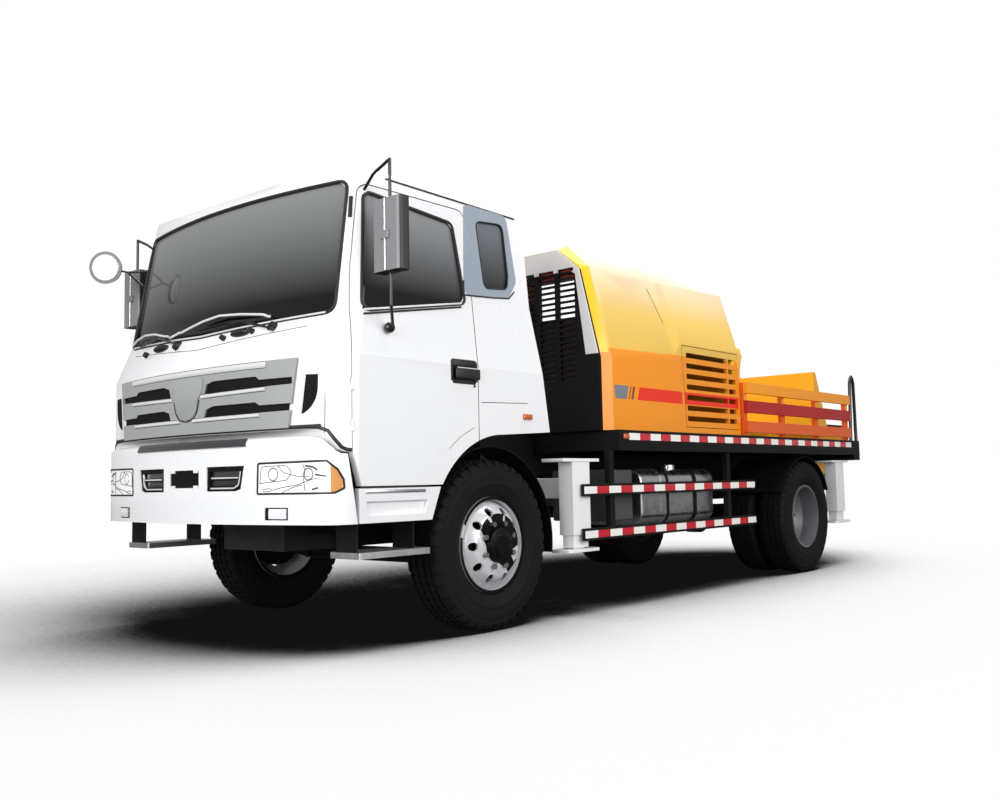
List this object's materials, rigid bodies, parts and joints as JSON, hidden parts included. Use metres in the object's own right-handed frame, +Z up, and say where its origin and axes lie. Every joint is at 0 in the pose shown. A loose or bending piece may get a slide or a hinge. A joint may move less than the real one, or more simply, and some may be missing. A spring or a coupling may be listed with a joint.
{
  "type": "truck-mounted concrete line pump",
  "caption": "Two-axle tilt-cab truck with a concrete line pump on its flat bed: engine hood, slatted side boards, rear charging hopper and ground jacks.",
  "frame": {"origin": "on the ground under the middle of the whole truck", "axes": "+X to the truck's left, +Y to its rear, +Z up"},
  "size_m": [2.86, 8.372, 2.8],
  "materials": {
    "cab_white": "gloss enamel",
    "hood_yellow": "gloss enamel",
    "board_orange": "gloss enamel",
    "chassis_black": "satin chassis paint",
    "deck_black": "satin chassis paint",
    "plastic_black": "grained",
    "fascia_grey": "satin",
    "grille_grey": "satin silver-grey",
    "tinted_glass": "dark tinted",
    "lamp_clear": "clear lens",
    "lamp_red": "lens",
    "bare_aluminium": "satin",
    "jack_silver": "silver paint",
    "box_grey": "satin",
    "wheel_silver": "silver paint",
    "tyre_rubber": "matt",
    "engine_grey": "cast",
    "seat_cloth": "woven"
  },
  "bodies": {
    "chassis": {"frame_rails": "chassis_black", "front_axle": "chassis_black", "rear_axle": "chassis_black", "engine": "engine_grey", "mudguards": "plastic_black", "bumper": "cab_white", "bumper_vents": "plastic_black", "headlamps": "lamp_clear", "step_panels": "cab_white", "step_plates": "bare_aluminium", "fuel_tank": "bare_aluminium", "battery_box": "box_grey", "silencer": "engine_grey", "side_guards": "chassis_black", "deck": "deck_black", "side_boards": "board_orange", "tail_hoops": "chassis_black", "tail_lamps": "lamp_red", "jack_boxes": "jack_silver", "hood": "hood_yellow", "hood_front": "plastic_black", "hood_fascia": "fascia_grey", "power_unit": "engine_grey", "pump_unit": "hood_yellow", "hopper": "hood_yellow"},
    "cab": {"cab_shell": "cab_white", "cab_hinge": "chassis_black", "windscreen": "tinted_glass", "cab_glass": "tinted_glass", "grille": "grille_grey", "grille_backing": "plastic_black", "wipers": "plastic_black", "seats": "seat_cloth", "dashboard": "plastic_black", "corner_mirror": "plastic_black"},
    "agitator": {"agitator": "chassis_black"},
    "hopper_grate": {"hopper_grate": "chassis_black"},
    "door_left": {"door_left": "cab_white", "door_glass_left": "tinted_glass", "door_mirror_left": "fascia_grey"},
    "hood_lid_left": {"hood_lid_left": "hood_yellow"},
    "knuckle_left": {"knuckle_left": "chassis_black"},
    "wheel_front_left": {"rim_front_left": "wheel_silver", "tyre_front_left": "tyre_rubber"},
    "wheel_rear_left": {"rim_rear_left": "wheel_silver", "tyre_rear_left": "tyre_rubber"},
    "jack_front_left": {"jack_front_left": "jack_silver"},
    "jack_rear_left": {"jack_rear_left": "jack_silver"},
    "door_right": {"door_right": "cab_white", "door_glass_right": "tinted_glass", "door_mirror_right": "fascia_grey"},
    "hood_lid_right": {"hood_lid_right": "hood_yellow"},
    "knuckle_right": {"knuckle_right": "chassis_black"},
    "wheel_front_right": {"rim_front_right": "wheel_silver", "tyre_front_right": "tyre_rubber"},
    "wheel_rear_right": {"rim_rear_right": "wheel_silver", "tyre_rear_right": "tyre_rubber"},
    "jack_front_right": {"jack_front_right": "jack_silver"},
    "jack_rear_right": {"jack_rear_right": "jack_silver"}
  },
  "joints": [
    {"name": "cab_tilt", "type": "hinge", "parent": "chassis", "child": "cab", "pos_m": [0, -4.098, 1.08], "axis": [1, 0, 0], "range_deg": [0, 45]},
    {"name": "door_left_swing", "type": "hinge", "parent": "cab", "child": "door_left", "pos_m": [1.187, -3.918, 1.35], "axis": [0, 0, -1], "range_deg": [0, 70]},
    {"name": "hood_lid_left_swing", "type": "hinge", "parent": "chassis", "child": "hood_lid_left", "pos_m": [1.16, 0.543, 1.65], "axis": [0, 0, 1], "range_deg": [0, 90]},
    {"name": "steer_left", "type": "hinge", "parent": "chassis", "child": "knuckle_left", "pos_m": [0.945, -2.75, 0.527], "axis": [0, 0, 1], "range_deg": [-35, 35]},
    {"name": "wheel_front_left_spin", "type": "hinge", "parent": "knuckle_left", "child": "wheel_front_left", "pos_m": [1.025, -2.75, 0.527], "axis": [1, 0, 0], "continuous": true},
    {"name": "wheel_rear_left_spin", "type": "hinge", "parent": "chassis", "child": "wheel_rear_left", "pos_m": [0.928, 1.75, 0.527], "axis": [1, 0, 0], "continuous": true},
    {"name": "jack_front_left_extend", "type": "slide", "parent": "chassis", "child": "jack_front_left", "axis": [0, 0, -1], "range_m": [0, 0.4]},
    {"name": "jack_rear_left_extend", "type": "slide", "parent": "chassis", "child": "jack_rear_left", "axis": [0, 0, -1], "range_m": [0, 0.4]},
    {"name": "door_right_swing", "type": "hinge", "parent": "cab", "child": "door_right", "pos_m": [-1.187, -3.918, 1.35], "axis": [0, 0, 1], "range_deg": [0, 70]},
    {"name": "hood_lid_right_swing", "type": "hinge", "parent": "chassis", "child": "hood_lid_right", "pos_m": [-1.16, 0.543, 1.65], "axis": [0, 0, -1], "range_deg": [0, 90]},
    {"name": "steer_right", "type": "hinge", "parent": "chassis", "child": "knuckle_right", "pos_m": [-0.945, -2.75, 0.527], "axis": [0, 0, 1], "range_deg": [-35, 35]},
    {"name": "wheel_front_right_spin", "type": "hinge", "parent": "knuckle_right", "child": "wheel_front_right", "pos_m": [-1.025, -2.75, 0.527], "axis": [1, 0, 0], "continuous": true},
    {"name": "wheel_rear_right_spin", "type": "hinge", "parent": "chassis", "child": "wheel_rear_right", "pos_m": [-0.928, 1.75, 0.527], "axis": [1, 0, 0], "continuous": true},
    {"name": "jack_front_right_extend", "type": "slide", "parent": "chassis", "child": "jack_front_right", "axis": [0, 0, -1], "range_m": [0, 0.4]},
    {"name": "jack_rear_right_extend", "type": "slide", "parent": "chassis", "child": "jack_rear_right", "axis": [0, 0, -1], "range_m": [0, 0.4]},
    {"name": "hopper_grate_lift", "type": "hinge", "parent": "chassis", "child": "hopper_grate", "pos_m": [0, 3.18, 1.467], "axis": [1, 0, 0], "range_deg": [0, 85]},
    {"name": "agitator_spin", "type": "hinge", "parent": "chassis", "child": "agitator", "pos_m": [0, 3.68, 1.12], "axis": [1, 0, 0], "continuous": true}
  ],
  "couplings": [
    {"joint": "steer_right", "follows": "steer_left", "ratio": 1}
  ]
}
